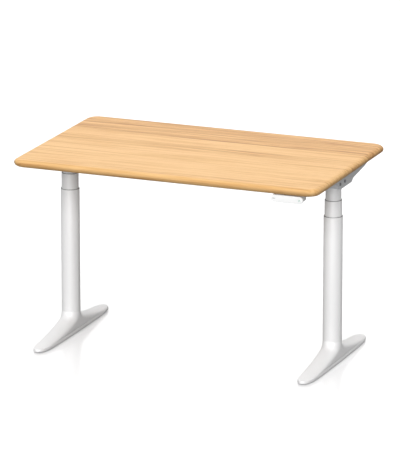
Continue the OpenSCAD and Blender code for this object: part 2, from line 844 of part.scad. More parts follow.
upper_tube(1);  // right_upper_tube
upper_shoe(-1);  // left_upper_shoe
upper_shoe(1);  // right_upper_shoe
gearbox(-1);  // left_gearbox
gearbox(1);  // right_gearbox
motor(-1);  // left_motor
motor(1);  // right_motor
bracket(-1);  // left_bracket
bracket(1);  // right_bracket
bracket_bolts();
bracket_screws();
crossbeam();
crossbeam_bolts();
control_box_tray();
control_box_cover();
control_board();
mains_inlet();
box_screws();
handset_housing();
handset_board();
paddle();
paddle_pin();
paddle_button();
status_light();
motor_lead(-1);  // left_motor_lead
motor_lead(1);  // right_motor_lead
handset_lead();
lead_clips();
fixing_screws();
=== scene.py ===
import json
import math

import bmesh
import bpy
import numpy as np
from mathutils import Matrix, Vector


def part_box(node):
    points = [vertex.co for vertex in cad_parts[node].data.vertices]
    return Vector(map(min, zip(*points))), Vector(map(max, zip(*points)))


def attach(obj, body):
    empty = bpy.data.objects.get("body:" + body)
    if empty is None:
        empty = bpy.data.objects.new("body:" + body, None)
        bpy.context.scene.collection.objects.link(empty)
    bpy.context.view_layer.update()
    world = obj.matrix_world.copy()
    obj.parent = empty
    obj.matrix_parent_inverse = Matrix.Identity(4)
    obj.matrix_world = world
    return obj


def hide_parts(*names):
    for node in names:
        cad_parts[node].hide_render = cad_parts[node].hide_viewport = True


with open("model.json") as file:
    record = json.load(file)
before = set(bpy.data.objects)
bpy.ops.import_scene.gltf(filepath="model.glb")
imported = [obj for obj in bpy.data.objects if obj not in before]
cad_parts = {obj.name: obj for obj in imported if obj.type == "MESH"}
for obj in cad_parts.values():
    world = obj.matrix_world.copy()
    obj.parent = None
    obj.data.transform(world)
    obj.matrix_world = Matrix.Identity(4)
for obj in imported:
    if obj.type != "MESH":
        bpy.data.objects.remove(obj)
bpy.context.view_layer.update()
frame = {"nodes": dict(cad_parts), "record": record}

record = frame["record"]
nodeBody = {node: body for body, members in record["behaviour"]["bodies"].items() for node in members}
nodeSlot = {part["node"]: part["material_slot"] for part in record["subparts"]}
scene = bpy.context.scene
mm = 0.001


def addObject(name, data):
    item = bpy.data.objects.new(name, data)
    scene.collection.objects.link(item)
    return item


def middleOf(node):
    low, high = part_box(node)
    return (low + high) / 2


def viewFrom(azimuth, elevation):
    # direction from the desk towards a place at that azimuth and elevation, in degrees
    azimuth, elevation = math.radians(azimuth), math.radians(elevation)
    return Vector((math.sin(azimuth) * math.cos(elevation), -math.cos(azimuth) * math.cos(elevation),
                   math.sin(elevation)))


# camera: where it stands, as seen from the middle of the desk, in degrees and metres
cameraView = {"azimuth": 22.06, "elevation": 15.44, "distance": 16.844, "aimHeight": 0.4626,
              "aimShift": 0.0007, "lens": 352.1, "clipEnd": 200}


def placeCamera(view):
    azimuth = math.radians(view["azimuth"])
    back = viewFrom(view["azimuth"], view["elevation"])
    right = Vector((math.cos(azimuth), math.sin(azimuth), 0))
    aim = right * view["aimShift"] + Vector((0, 0, view["aimHeight"]))
    camera = addObject("camera", bpy.data.cameras.new("camera"))
    camera.location = aim + back * view["distance"]
    camera.rotation_euler = (-back).to_track_quat("-Z", "Y").to_euler()
    camera.data.lens = view["lens"]
    camera.data.clip_end = view["clipEnd"]
    scene.camera = camera


placeCamera(cameraView)
print("camera placed")


# mesh helpers: most pieces are a grid of points worked out with numpy
def gridFaces(rows, cols, wrapRows=False):
    # quads between neighbouring rows and columns; the columns always close into a ring
    i, j = np.meshgrid(np.arange(rows if wrapRows else rows - 1), np.arange(cols), indexing="ij")
    nextI, nextJ = (i + 1) % rows, (j + 1) % cols
    quads = np.stack([i * cols + j, i * cols + nextJ, nextI * cols + nextJ, nextI * cols + j], -1)
    return quads.reshape(-1, 4).tolist()


def smoothFaces(mesh, sharpAngle):
    mesh.polygons.foreach_set("use_smooth", np.ones(len(mesh.polygons), bool))
    mesh.set_sharp_from_angle(angle=math.radians(sharpAngle))


def surfacePiece(name, points, wrapRows=False, sharpAngle=40):
    # points is rows x columns x 3; open ends are closed with one flat face each
    rows, cols = points.shape[:2]
    faces = gridFaces(rows, cols, wrapRows)
    if not wrapRows:
        faces.append(list(range(cols)))
        faces.append(list(range((rows - 1) * cols, rows * cols)))
    mesh = bpy.data.meshes.new(name)
    mesh.from_pydata(points.reshape(-1, 3).tolist(), [], faces)
    shape = bmesh.new()
    shape.from_mesh(mesh)
    bmesh.ops.recalc_face_normals(shape, faces=shape.faces)
    shape.to_mesh(mesh)
    shape.free()
    smoothFaces(mesh, sharpAngle)
    return addObject(name, mesh)


def joinPieces(name, pieces):
    # several closed shells as one piece
    shape = bmesh.new()
    for piece in pieces:
        shape.from_mesh(piece.data)
        bpy.data.objects.remove(piece)
    mesh = bpy.data.meshes.new(name)
    shape.to_mesh(mesh)
    shape.free()
    return addObject(name, mesh)


def roundedLoop(corners, radii, steps=5):
    # each corner of a closed outline becomes a quadratic curve that starts and ends a radius away
    corners = np.array(corners, float)
    radii = np.broadcast_to(np.array(radii, float), len(corners))[:, None]
    before, after = np.roll(corners, 1, 0) - corners, np.roll(corners, -1, 0) - corners
    start = corners + before / np.linalg.norm(before, axis=1, keepdims=True) * radii
    end = corners + after / np.linalg.norm(after, axis=1, keepdims=True) * radii
    t = np.linspace(0, 1, steps)[None, :, None]
    curve = (1 - t) ** 2 * start[:, None] + 2 * t * (1 - t) * corners[:, None] + t ** 2 * end[:, None]
    return curve.reshape(-1, 2)


def turned(profile, segments):
    # profile of radius and travel, turned: the two coordinates across the axis, then the one along it
    profile = np.array(profile, float)
    angle = np.linspace(0, 2 * np.pi, segments, endpoint=False)
    points = np.zeros((len(profile), segments, 3))
    points[..., 0] = profile[:, None, 0] * np.cos(angle)
    points[..., 1] = profile[:, None, 0] * np.sin(angle)
    points[..., 2] = profile[:, None, 1]
    return points


def lathe(name, profile, centre, segments=128, closed=True):
    # profile of radius and height, turned about an upright axis
    points = turned(profile, segments) + np.array([centre[0], centre[1], 0.0])
    return surfacePiece(name, points, closed)


def facingDisc(name, centre, front, profile, closed=False):
    # profile of radius and depth in millimetres, turned about a line that runs front to back
    across, up, depth = np.moveaxis(turned(profile, 72) * mm, -1, 0)
    return surfacePiece(name, np.stack([centre[0] + across, front + depth, centre[1] + up], -1), closed)


def slabPiece(name, outline, ends, axis):
    # flat outline carried straight along one axis, from one end to the other
    points = np.zeros((2, len(outline), 3))
    flat = [place for place in range(3) if place != axis]
    points[..., flat[0]], points[..., flat[1]] = outline[None, :, 0], outline[None, :, 1]
    points[..., axis] = np.array(ends, float)[:, None]
    return surfacePiece(name, points)


def catmullRom(route, steps):
    # smooth curve through the route's points, as the polynomial of each four neighbours
    p = np.array(route, float)
    a, b = np.vstack([p[:1], p[:-2]]), p[:-1]
    c, d = p[1:], np.vstack([p[2:], p[-1:]])
    t = (np.arange(steps) / steps)[None, :, None]
    a, b, c, d = (q[:, None] for q in (a, b, c, d))
    curve = 0.5 * (2 * b + (c - a) * t + (2 * a - 5 * b + 4 * c - d) * t ** 2
                   + (3 * b - a - 3 * c + d) * t ** 3)
    return np.vstack([curve.reshape(-1, 3), p[-1:]])


def sweptTube(name, path, radius, sides):
    # circle carried along a path, level with the floor across its line
    along = np.gradient(path, axis=0)
    along /= np.linalg.norm(along, axis=1, keepdims=True)
    across = np.cross([0.0, 0.0, 1.0], along)
    across /= np.linalg.norm(across, axis=1, keepdims=True)
    over = np.cross(along, across)
    angle = np.linspace(0, 2 * np.pi, sides, endpoint=False)[None, :, None]
    points = path[:, None] + radius * (np.cos(angle) * across[:, None] + np.sin(angle) * over[:, None])
    return surfacePiece(name, points)


def applyModifiers(piece, sharpAngle):
    bpy.context.view_layer.update()
    made = bpy.data.meshes.new_from_object(piece.evaluated_get(bpy.context.evaluated_depsgraph_get()))
    piece.modifiers.clear()
    piece.data = made
    smoothFaces(made, sharpAngle)


def softCopy(node, name, width, segments=3):
    # merged copy of a CAD node whose hard edges get a small radius
    shape = bmesh.new()
    shape.from_mesh(frame["nodes"][node].data)
    bmesh.ops.remove_doubles(shape, verts=shape.verts, dist=1e-6)
    bmesh.ops.dissolve_limit(shape, angle_limit=math.radians(0.6), verts=shape.verts, edges=shape.edges)
    mesh = bpy.data.meshes.new(name)
    shape.to_mesh(mesh)
    shape.free()
    mesh.materials.clear()
    piece = addObject(name, mesh)
    bevel = piece.modifiers.new("edges", "BEVEL")
    bevel.width = width
    bevel.segments = segments
    bevel.limit_method = "ANGLE"
    bevel.angle_limit = math.radians(38)
    applyModifiers(piece, 50)
    return piece


def cutOut(piece, cutters):
    # removes the cutters' shapes from a piece
    for cutter in cutters:
        cut = piece.modifiers.new("cut", "BOOLEAN")
        cut.operation = "DIFFERENCE"
        cut.solver = "EXACT"
        cut.object = cutter
    applyModifiers(piece, 35)
    for cutter in cutters:
        bpy.data.objects.remove(cutter)
    return piece


# shader groups that several finishes share
def newGroup(name, inputs, outputs):
    group = bpy.data.node_groups.new(name, "ShaderNodeTree")
    for label, kind, value in inputs:
        socket = group.interface.new_socket(label, in_out="INPUT", socket_type=kind)
        socket.default_value = value
    for label, kind in outputs:
        group.interface.new_socket(label, in_out="OUTPUT", socket_type=kind)
    return group, group.nodes.new("NodeGroupInput"), group.nodes.new("NodeGroupOutput")


def addMath(tree, operation, first, second=None, clamp=False):
    node = tree.nodes.new("ShaderNodeMath")
    node.operation = operation
    node.use_clamp = clamp
    for place, value in enumerate((first, second)):
        if value is None:
            continue
        if isinstance(value, (int, float)):
            node.inputs[place].default_value = value
        else:
            tree.links.new(value, node.inputs[place])
    return node.outputs[0]


def addSteps(tree, first, *steps):
    # one sum after another on the same value
    for operation, second in steps:
        first = addMath(tree, operation, first, second)
    return first


def addNoise(tree, vector, scale, detail=4.0, roughness=0.55, distortion=0.0):
    node = tree.nodes.new("ShaderNodeTexNoise")
    tree.links.new(vector, node.inputs["Vector"])
    if isinstance(scale, (int, float)):
        node.inputs["Scale"].default_value = scale
    else:
        tree.links.new(scale, node.inputs["Scale"])
    node.inputs["Detail"].default_value = detail
    node.inputs["Roughness"].default_value = roughness
    node.inputs["Distortion"].default_value = distortion
    return node.outputs["Fac"]


def addStretch(tree, vector, scale):
    node = tree.nodes.new("ShaderNodeMapping")
    tree.links.new(vector, node.inputs["Vector"])
    node.inputs["Scale"].default_value = scale
    return node.outputs[0]


def objectPlace(tree):
    return tree.nodes.new("ShaderNodeTexCoord").outputs["Object"]


def buildDrift():
    # slow change of brightness over a surface, with a finer mottling on top
    group, inside, outside = newGroup("brightnessDrift", [
        ("Colour", "NodeSocketColor", (1, 1, 1, 1)), ("Amount", "NodeSocketFloat", 0.05),
        ("Scale", "NodeSocketFloat", 6.0)], [("Colour", "NodeSocketColor")])
    place = objectPlace(group)
    slow = addNoise(group, place, inside.outputs["Scale"], 2.0)
    fine = addNoise(group, place, addMath(group, "MULTIPLY", inside.outputs["Scale"], 11.0), 3.0)
    both = addMath(group, "ADD", addMath(group, "MULTIPLY", slow, 1.4), addMath(group, "MULTIPLY", fine, 0.6))
    level = addMath(group, "MULTIPLY", addMath(group, "SUBTRACT", both, 1.0), inside.outputs["Amount"])
    gain = addMath(group, "ADD", level, 1.0)
    scaled = group.nodes.new("ShaderNodeVectorMath")
    scaled.operation = "SCALE"
    group.links.new(inside.outputs["Colour"], scaled.inputs[0])
    group.links.new(gain, scaled.inputs["Scale"])
    group.links.new(scaled.outputs[0], outside.inputs[0])
    return group


def buildGrain():
    # height of a fine skin, such as powder coat or a moulded face, and a spread for the roughness
    group, inside, outside = newGroup("skinGrain", [
        ("Scale", "NodeSocketFloat", 900.0), ("Roughness", "NodeSocketFloat", 0.4),
        ("Spread", "NodeSocketFloat", 0.08)],
        [("Height", "NodeSocketFloat"), ("Roughness", "NodeSocketFloat")])
    place = objectPlace(group)
    fine = addNoise(group, place, inside.outputs["Scale"], 3.0, 0.6)
    wide = addNoise(group, place, addMath(group, "MULTIPLY", inside.outputs["Scale"], 0.04), 3.0)
    group.links.new(fine, outside.inputs["Height"])
    shift = addMath(group, "MULTIPLY", addMath(group, "SUBTRACT", wide, 0.5), inside.outputs["Spread"])
    rough = addMath(group, "ADD", shift, inside.outputs["Roughness"], True)
    group.links.new(rough, outside.inputs["Roughness"])
    return group


def buildWear():
    # mask that is high along outer edges and broken up by noise
    group, inside, outside = newGroup("edgeWear", [
        ("Gain", "NodeSocketFloat", 6.0), ("Amount", "NodeSocketFloat", 0.5)], [("Mask", "NodeSocketFloat")])
    shape = group.nodes.new("ShaderNodeNewGeometry")
    edge = addMath(group, "SUBTRACT", shape.outputs["Pointiness"], 0.52)
    edge = addMath(group, "MULTIPLY", edge, inside.outputs["Gain"], True)
    broken = addNoise(group, objectPlace(group), 140.0, 4.0, 0.7)
    broken = addMath(group, "MULTIPLY", addMath(group, "SUBTRACT", broken, 0.42), 4.0, True)
    mask = addMath(group, "MULTIPLY", edge, broken)
    group.links.new(addMath(group, "MULTIPLY", mask, inside.outputs["Amount"], True), outside.inputs[0])
    return group


driftGroup, grainGroup, wearGroup = buildDrift(), buildGrain(), buildWear()


def placeGroup(tree, group, **values):
    node = tree.nodes.new("ShaderNodeGroup")
    node.node_tree = group
    for label, value in values.items():
        node.inputs[label].default_value = value
    return node


def mixColour(tree, mask, first, second):
    node = tree.nodes.new("ShaderNodeMix")
    node.data_type = "RGBA"
    tree.links.new(mask, node.inputs["Factor"])
    for place, value in (("A", first), ("B", second)):
        socket = [s for s in node.inputs if s.name == place and s.type == "RGBA"][0]
        if isinstance(value, (tuple, list)):
            socket.default_value = (*value, 1)
        else:
            tree.links.new(value, socket)
    return [s for s in node.outputs if s.type == "RGBA"][0]


def addBump(tree, height, strength, distance, normal=None):
    node = tree.nodes.new("ShaderNodeBump")
    node.inputs["Strength"].default_value = strength
    node.inputs["Distance"].default_value = distance
    tree.links.new(height, node.inputs["Height"])
    if normal is not None:
        tree.links.new(normal, node.inputs["Normal"])
    return node.outputs[0]


def newMaterial(name):
    material = bpy.data.materials.new(name)
    material.use_nodes = True
    return material, material.node_tree, material.node_tree.nodes["Principled BSDF"]


# plain finishes: colour, worn colour, roughness and its spread, grain scale, bump height and so on
finishes = {
    "white_paint": {"colour": (0.79, 0.787, 0.787), "worn": (0.64, 0.64, 0.65), "rough": 0.55, "spread": 0.10,
                    "grain": 1500, "bump": 0.00003, "drift": 0.03, "wear": 0.35, "metal": 0.12},
    "column_paint": {"colour": (0.78, 0.777, 0.777), "worn": (0.62, 0.62, 0.63), "rough": 0.48,
                     "spread": 0.08, "grain": 1700, "bump": 0.000025, "drift": 0.025, "wear": 0.3,
                     "metal": 0.12},
    "bracket_grey": {"colour": (0.600, 0.605, 0.620), "worn": (0.62, 0.63, 0.64), "rough": 0.46,
                     "spread": 0.12, "grain": 1300, "bump": 0.00005, "drift": 0.06, "wear": 0.5},
    "beam_grey": {"colour": (0.370, 0.373, 0.385), "worn": (0.50, 0.51, 0.52), "rough": 0.48, "spread": 0.12,
                  "grain": 1300, "bump": 0.00005, "drift": 0.06, "wear": 0.5},
    "glide_grey": {"colour": (0.13, 0.133, 0.138), "worn": (0.22, 0.22, 0.23), "rough": 0.52, "spread": 0.1,
                   "grain": 2200, "bump": 0.00003, "drift": 0.08, "wear": 0.4},
    "nut_plastic": {"colour": (0.55, 0.42, 0.22), "worn": (0.66, 0.56, 0.38), "rough": 0.45, "spread": 0.1,
                    "grain": 1800, "bump": 0.00003, "drift": 0.06, "wear": 0.4},
    "motor_metal": {"colour": (0.030, 0.030, 0.033), "worn": (0.30, 0.30, 0.31), "rough": 0.40,
                    "spread": 0.14, "grain": 1500, "bump": 0.00004, "drift": 0.10, "wear": 0.6},
    "gear_housing": {"colour": (0.40, 0.41, 0.42), "worn": (0.62, 0.63, 0.64), "rough": 0.50, "spread": 0.2,
                     "grain": 900, "bump": 0.00008, "drift": 0.12, "wear": 0.5, "metal": 0.8},
    "black_bolt": {"colour": (0.22, 0.225, 0.235), "worn": (0.38, 0.38, 0.39), "rough": 0.36, "spread": 0.16,
                   "grain": 1400, "bump": 0.00004, "drift": 0.12, "wear": 0.7, "metal": 0.6},
    "pad_rubber": {"colour": (0.025, 0.025, 0.026), "worn": (0.09, 0.09, 0.09), "rough": 0.75, "spread": 0.14,
                   "grain": 1600, "bump": 0.00008, "drift": 0.15, "wear": 0.5},
    "box_plastic": {"colour": (0.032, 0.033, 0.036), "worn": (0.10, 0.10, 0.11), "rough": 0.55,
                    "spread": 0.12, "grain": 1500, "bump": 0.00008, "drift": 0.08, "wear": 0.5},
    "board_green": {"colour": (0.010, 0.105, 0.045), "worn": (0.35, 0.30, 0.12), "rough": 0.33,
                    "spread": 0.15, "grain": 700, "bump": 0.00004, "drift": 0.20, "wear": 0.8},
    "handset_white": {"colour": (0.80, 0.805, 0.80), "worn": (0.70, 0.70, 0.69), "rough": 0.40,
                      "spread": 0.08, "grain": 2600, "bump": 0.00002, "drift": 0.02, "wear": 0.3},
    "light_grey": {"colour": (0.20, 0.22, 0.21), "worn": (0.30, 0.31, 0.31), "rough": 0.22, "spread": 0.06,
                   "grain": 2000, "bump": 0.00001, "drift": 0.05, "wear": 0.3, "coat": 0.4},
    "lead_grey": {"colour": (0.040, 0.040, 0.043), "worn": (0.09, 0.09, 0.09), "rough": 0.60, "spread": 0.12,
                  "grain": 1700, "bump": 0.00005, "drift": 0.10, "wear": 0.3},
    "raise_green": {"colour": (0.0, 0.105, 0.060), "worn": (0.02, 0.20, 0.12), "rough": 0.38, "spread": 0.08,
                    "grain": 2600, "bump": 0.00001, "drift": 0.06, "wear": 0.3},
    "ring_green": {"colour": (0.50, 0.74, 0.62), "worn": (0.60, 0.78, 0.68), "rough": 0.30, "spread": 0.06,
                   "grain": 2600, "bump": 0.00001, "drift": 0.04, "wear": 0.3},
}

# turned, ground and plated steel: fine lines run round or along the piece
steels = {
    "spindle_steel": {"colour": (0.44, 0.45, 0.47), "rough": 0.26, "spread": 0.18, "lines": (60, 60, 2600)},
    "screw_steel": {"colour": (0.46, 0.47, 0.49), "rough": 0.32, "spread": 0.20, "lines": (900, 900, 1600)},
}


def makeFinish(name, look):
    material, tree, shader = newMaterial(name)
    drift = placeGroup(tree, driftGroup, Colour=(*look["colour"], 1), Amount=look["drift"], Scale=5.0)
    wear = placeGroup(tree, wearGroup, Gain=7.0, Amount=look["wear"])
    colour = mixColour(tree, wear.outputs["Mask"], drift.outputs["Colour"], look["worn"])
    tree.links.new(colour, shader.inputs["Base Color"])
    grain = placeGroup(tree, grainGroup, Scale=look["grain"], Roughness=look["rough"], Spread=look["spread"])
    tree.links.new(grain.outputs["Roughness"], shader.inputs["Roughness"])
    tree.links.new(addBump(tree, grain.outputs["Height"], 0.6, look["bump"]), shader.inputs["Normal"])
    shader.inputs["Metallic"].default_value = look.get("metal", 0.0)
    shader.inputs["Coat Weight"].default_value = look.get("coat", 0.0)
    return material


def makeSteel(name, look):
    material, tree, shader = newMaterial(name)
    drift = placeGroup(tree, driftGroup, Colour=(*look["colour"], 1), Amount=0.15, Scale=20.0)
    tree.links.new(drift.outputs["Colour"], shader.inputs["Base Color"])
    lines = addNoise(tree, addStretch(tree, objectPlace(tree), look["lines"]), 1.0, 3.0, 0.6)
    rough = addMath(tree, "ADD", addMath(tree, "MULTIPLY", lines, look["spread"]),
                    look["rough"] - look["spread"] / 2)
    tree.links.new(rough, shader.inputs["Roughness"])
    tree.links.new(addBump(tree, lines, 0.3, 0.00003), shader.inputs["Normal"])
    shader.inputs["Metallic"].default_value = 1.0
    return material


# wood of the worktop: staves that run left to right, each with its own shade and grain;
# grain gives each layer's stretch along and across the boards, detail, roughness and distortion
woodLook = {"stave": 0.098, "swing": 0.34, "swingRate": 13.0, "light": (0.830, 0.515, 0.222),
            "middle": (0.715, 0.405, 0.154), "dark": (0.430, 0.186, 0.055), "joint": (0.30, 0.12, 0.035),
            # the edge shade and its power set the painted shade on the rounded edge
            "rough": 0.50, "roughSpread": 0.16, "edgeShade": 0.40, "edgePower": 0.75, "poreDepth": 0.28,
            "seamDepth": 0.42, "seamStart": 0.4925, "ringCount": 46.0, "stops": (0.49, 0.61, 0.78),
            "grain": {"figure": ((1.1, 17, 17), 4.0, 0.55, 0.9), "bands": ((1.7, 46, 46), 3.0, 0.6, 0.4),
                      "streaks": ((1.8, 88, 88), 5.0, 0.66, 0.3), "fibres": ((9, 900, 900), 3.0, 0.6, 0.0),
                      "pores": ((32, 1500, 1500), 2.0, 0.5, 0.0)},
            "shares": {"bands": 0.30, "streaks": 0.70, "rings": 0.06, "fibres": 0.12, "chance": 0.16}}


def addStaves(tree, look, x, y, z):
    # stave number: depth over stave width, swung by a sine so that the widths differ
    swing = addSteps(tree, y, ("MULTIPLY", look["swingRate"]), ("SINE", None), ("MULTIPLY", look["swing"]))
    across = addMath(tree, "ADD", addMath(tree, "DIVIDE", y, look["stave"]), swing)
    random = tree.nodes.new("ShaderNodeTexWhiteNoise")
    random.noise_dimensions = "1D"
    tree.links.new(addMath(tree, "FLOOR", across), random.inputs["W"])
    chance = random.outputs["Value"]
    # grain place: each stave starts somewhere else along its length
    moved = tree.nodes.new("ShaderNodeCombineXYZ")
    tree.links.new(addMath(tree, "ADD", x, addMath(tree, "MULTIPLY", chance, 9.0)), moved.inputs[0])
    tree.links.new(y, moved.inputs[1])
    tree.links.new(z, moved.inputs[2])
    edge = addSteps(tree, across, ("FRACT", None), ("SUBTRACT", 0.5), ("ABSOLUTE", None))
    seam = addMath(tree, "MULTIPLY", addMath(tree, "SUBTRACT", edge, look["seamStart"]), 160.0, True)
    return chance, moved.outputs[0], seam


def paintShadeOnEdge(tree, look, colour):
    # painted shade: the base colour of the rounded edge is darkened the more its normal turns away from the
    # top, standing in for the shade that falls there
    facing = tree.nodes.new("ShaderNodeSeparateXYZ")
    tree.links.new(tree.nodes.new("ShaderNodeNewGeometry").outputs["Normal"], facing.inputs[0])
    lean = addMath(tree, "SUBTRACT", 1.0, facing.outputs[2], True)
    lean = addSteps(tree, lean, ("POWER", look["edgePower"]), ("MULTIPLY", look["edgeShade"]))
    paintedShade = tree.nodes.new("ShaderNodeVectorMath")
    paintedShade.operation = "SCALE"
    tree.links.new(colour, paintedShade.inputs[0])
    tree.links.new(addMath(tree, "SUBTRACT", 1.0, lean), paintedShade.inputs["Scale"])
    return paintedShade.outputs[0]


def makeWood(name, look):
    material, tree, shader = newMaterial(name)
    parts = tree.nodes.new("ShaderNodeSeparateXYZ")
    tree.links.new(objectPlace(tree), parts.inputs[0])
    chance, grainPlace, seam = addStaves(tree, look, *parts.outputs)
    layers = {layer: addNoise(tree, addStretch(tree, grainPlace, stretch), 1.0, *rest)
              for layer, (stretch, *rest) in look["grain"].items()}
    layers["chance"] = addMath(tree, "SUBTRACT", chance, 0.5)
    layers["rings"] = addSteps(tree, layers["figure"], ("MULTIPLY", look["ringCount"]), ("SINE", None),
                               ("ADD", 1.0), ("MULTIPLY", 0.5))
    pores = addMath(tree, "MULTIPLY", addMath(tree, "SUBTRACT", layers["pores"], 0.60), 9.0, True)
    # tone of the grain: the layers' sum, each by its share
    tone = 0.0
    for layer, share in look["shares"].items():
        tone = addMath(tree, "ADD", addMath(tree, "MULTIPLY", layers[layer], share), tone)
    ramp = tree.nodes.new("ShaderNodeValToRGB")
    stops = ramp.color_ramp.elements
    stops.new(look["stops"][1])
    for stop, place, shade in zip(stops, look["stops"], ("light", "middle", "dark")):
        stop.position = place
        stop.color = (*look[shade], 1)
    tree.links.new(tone, ramp.inputs[0])
    poreMask = addMath(tree, "MULTIPLY", pores, look["poreDepth"])
    colour = mixColour(tree, poreMask, ramp.outputs[0], look["dark"])
    colour = mixColour(tree, addMath(tree, "MULTIPLY", seam, look["seamDepth"]), colour, look["joint"])
    wear = placeGroup(tree, wearGroup, Gain=5.0, Amount=0.25)
    colour = mixColour(tree, wear.outputs["Mask"], colour, look["light"])
    # base colour with painted shade on the rounded edge, darker where it turns from the top
    tree.links.new(paintShadeOnEdge(tree, look, colour), shader.inputs["Base Color"])
    rough = addSteps(tree, layers["streaks"], ("MULTIPLY", look["roughSpread"]),
                     ("ADD", look["rough"] - look["roughSpread"] / 2))
    rough = addMath(tree, "ADD", rough, addMath(tree, "MULTIPLY", pores, 0.15))
    tree.links.new(rough, shader.inputs["Roughness"])
    height = addMath(tree, "MULTIPLY", layers["fibres"], 0.5)
    height = addSteps(tree, height, ("SUBTRACT", addMath(tree, "MULTIPLY", pores, 0.8)), ("SUBTRACT", seam))
    tree.links.new(addBump(tree, height, 0.35, 0.00012), shader.inputs["Normal"])
    shader.inputs["Specular IOR Level"].default_value = 0.16
    shader.inputs["Coat Weight"].default_value = 0.02
    shader.inputs["Coat Roughness"].default_value = 0.35
    return material


materials = {name: makeFinish(name, look) for name, look in finishes.items()}
materials.update({name: makeSteel(name, look) for name, look in steels.items()})
materials["oak_top"] = makeWood("oak_top", woodLook)
print("materials made:", len(materials))


def coat(piece, finish):
    piece.data.materials.clear()
    piece.data.materials.append(materials[finish])
    return piece


def stand(piece, node, finish=None):
    # a new piece takes the place, body, slot and finish of a CAD node
    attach(piece, nodeBody[node])
    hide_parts(node)
    return coat(piece, finish or nodeSlot[node])


def addTo(piece, node, finish=None):
    # a further piece beside a CAD node, on the same body
    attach(piece, nodeBody[node])
    return coat(piece, finish or nodeSlot[node])


# low voltage leads, held by clips all the way: routes in millimetres, smoothed as the CAD leads are
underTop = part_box("tabletop")[0].z / mm
columnX = middleOf("right_outer_tube").x / mm
columnY = middleOf("right_outer_tube").y / mm
sides = (("left", -1), ("right", 1))
leadLook = {"radius": 2.5, "steps": 10, "sides": 16}
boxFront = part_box("control_box_tray")[0].y / mm
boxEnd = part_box("control_box_tray")[1].x / mm
bracketIn = 2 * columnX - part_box("right_bracket")[1].x / mm
paddleMiddle = middleOf("paddle").x / mm
paddleHeight = middleOf("paddle").z / mm
pinY = middleOf("paddle_pin").y / mm
exitY = columnY + 10
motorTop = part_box("right_motor")[1].z / mm - 0.9
motorRoute = [[columnX - 9, exitY, motorTop - 1.3], [columnX - 12, exitY, (motorTop + underTop) / 2 + 3.5],
              [columnX - 21, exitY, underTop - 10], [bracketIn, exitY, underTop - 8], [470, 30, underTop - 8],
              [430, 60, underTop - 6], [400, 100, underTop - 6], [360, 122, underTop - 5],
              [280, 126, underTop - 8], [200, 129, underTop - 8], [154, 134, underTop - 11],
              [boxEnd + 6, 135, underTop - 12], [boxEnd - 12, 135, underTop - 12]]
handsetRoute = [[paddleMiddle, pinY + 28, paddleHeight + 2], [paddleMiddle, pinY + 42, paddleHeight + 2],
                [494, pinY + 58, underTop - 8], [450, -258, underTop - 5], [350, -185, underTop - 9],
                [240, -110, underTop - 5], [150, -30, underTop - 9], [100, 36, underTop - 6],
                [86, 66, underTop - 6], [80, boxFront - 16, underTop - 6.5], [80, boxFront - 4, underTop - 8],
                [80, boxFront + 6, underTop - 8]]


def makeLead(name, node, route, look):
    path = catmullRom(np.array(route, float) * mm, look["steps"])
    stand(sweptTube(name, path, look["radius"] * mm, look["sides"]), node)


def makeLeads(look):
    for side, sign in sides:
        makeLead(side + "MotorLead", side + "_motor_lead", np.array(motorRoute) * (sign, 1, 1), look)
    makeLead("handsetLead", "handset_lead", handsetRoute, look)
    stand(softCopy("lead_clips", "leadClips", 0.5 * mm), "lead_clips")
    stand(softCopy("fixing_screws", "fixingScrews", 0.4 * mm), "fixing_screws")


makeLeads(leadLook)
print("leads laid")

# worktop: corner radius in plan, how far the round of the edge runs in, and how full that round is
worktopLook = {"cornerRadius": 50, "edgeRun": 23, "fullness": 2.08, "cornerSteps": 28, "sideSteps": 24,
               "edgeSteps": 28}


def roundedPlan(halfX, halfY, radius, cornerSteps, sideSteps):
    # base line and outward direction round a rectangle whose corners are arcs
    angle = np.linspace(0, np.pi / 2, cornerSteps)
    bases, outs = [], []
    centres = [(1, 1), (-1, 1), (-1, -1), (1, -1)]
    for quarter, (signX, signY) in enumerate(centres):
        turn = angle + quarter * np.pi / 2
        out = np.stack([np.cos(turn), np.sin(turn)], -1)
        centre = np.array([signX * (halfX - radius), signY * (halfY - radius)])
        bases.append(np.broadcast_to(centre, out.shape))
        outs.append(out)
        nextX, nextY = centres[(quarter + 1) % 4]
        following = np.array([nextX * (halfX - radius), nextY * (halfY - radius)])
        t = np.linspace(0, 1, sideSteps + 2)[1:-1, None]
        bases.append(centre + (following - centre) * t)
        outs.append(np.broadcast_to(out[-1], (sideSteps, 2)))
    return np.vstack(bases), np.vstack(outs)


def makeWorktop(look):
    # slab: plan outline moved out by a run that follows a superellipse from underside to top
    low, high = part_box("tabletop")
    base, out = roundedPlan(high.x, high.y, look["cornerRadius"] * mm, look["cornerSteps"], look["sideSteps"])
    angle = np.linspace(-np.pi / 2, np.pi / 2, look["edgeSteps"])
    power = 2 / look["fullness"]
    inner = (look["cornerRadius"] - look["edgeRun"]) * mm
    run = inner + look["edgeRun"] * mm * np.abs(np.cos(angle)) ** power
    half = (high.z - low.z) / 2
    height = low.z + half + half * np.sign(np.sin(angle)) * np.abs(np.sin(angle)) ** power
    run = np.concatenate([[0.0, inner * 0.6], run, [inner * 0.6, 0.0]])
    height = np.concatenate([[low.z, low.z], height, [high.z, high.z]])
    points = np.zeros((len(run), len(base), 3))
    points[..., :2] = base[None] + out[None] * run[:, None, None]
    points[..., 2] = height[:, None]
    stand(surfacePiece("worktop", points), "tabletop")


makeWorktop(worktopLook)
print("worktop made")

# foot: reach to front and back of the column axis, heights, and the numbers that shape its sweep
footLook = {"front": 327, "rear": 327, "radius": 36, "collar": 84, "lift": 3, "rim": 6, "tip": 16,
            "rimRun": 9, "shoulder": 2.2, "taper": 0.14, "blunt": 9, "fillet": 0.32, "fade": 0.03,
            "ring": 144, "levels": 64, "boltHole": 7.5, "boltSpread": 18, "boltDepth": 14, "shankHole": 4.3,
            "spigotIn": 2.1, "spigotTop": 96, "well": 34, "wellRadius": 30, "stemHole": 4.05}


